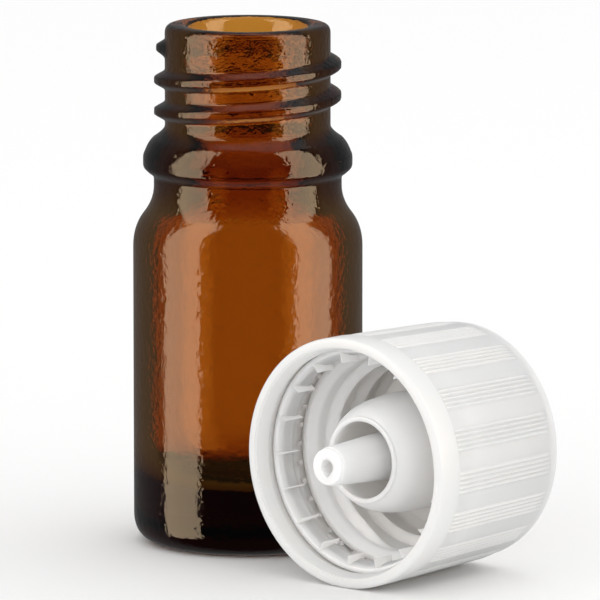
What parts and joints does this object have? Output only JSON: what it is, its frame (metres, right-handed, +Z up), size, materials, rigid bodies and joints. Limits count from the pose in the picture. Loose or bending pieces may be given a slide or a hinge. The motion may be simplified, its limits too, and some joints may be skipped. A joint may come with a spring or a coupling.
{
  "type": "dropper bottle",
  "caption": "Small round amber glass bottle with a screw neck, and its white child-resistant dropper closure lying open beside it.",
  "frame": {"origin": "on the surface that the bottle and the closure stand on, under the middle of the whole set's box", "axes": "+Z up along the bottle's axis; +X along the lying closure's axis, from its mouth to its closed end; the closure lies on the -Y side of the bottle"},
  "size_m": [0.0264, 0.0458, 0.05],
  "materials": {
    "amber_glass": "moulded amber glass, glossy with a faint ripple",
    "shell_polypropylene": "moulded white polypropylene, satin",
    "band_polyethylene": "moulded white polyethylene, satin",
    "cap_polyethylene": "moulded white polyethylene, satin",
    "dropper_polyethylene": "natural low-density polyethylene, slightly translucent"
  },
  "bodies": {
    "bottle": {"bottle": "amber_glass"},
    "outer_shell": {"outer_shell": "shell_polypropylene"},
    "tamper_band": {"tamper_band": "band_polyethylene"},
    "inner_cap": {"inner_cap": "cap_polyethylene"},
    "dropper_insert": {"dropper_insert": "dropper_polyethylene"}
  },
  "joints": [
    {"name": "closure_stand", "type": "hinge", "parent": "bottle", "child": "outer_shell", "pos_m": [0.0074, -0.01115, 0], "axis": [0, 1, 0], "range_deg": [0, 90]},
    {"name": "shell_press", "type": "slide", "parent": "outer_shell", "child": "tamper_band", "axis": [1, 0, 0], "range_m": [0, 0.0009], "stiffness_N_per_m": 300},
    {"name": "cap_turn", "type": "hinge", "parent": "tamper_band", "child": "inner_cap", "pos_m": [-0.0108, -0.01115, 0.0118], "axis": [1, 0, 0], "continuous": true},
    {"name": "dropper_release", "type": "slide", "parent": "inner_cap", "child": "dropper_insert", "axis": [-1, 0, 0], "range_m": [0, 0.016]}
  ]
}
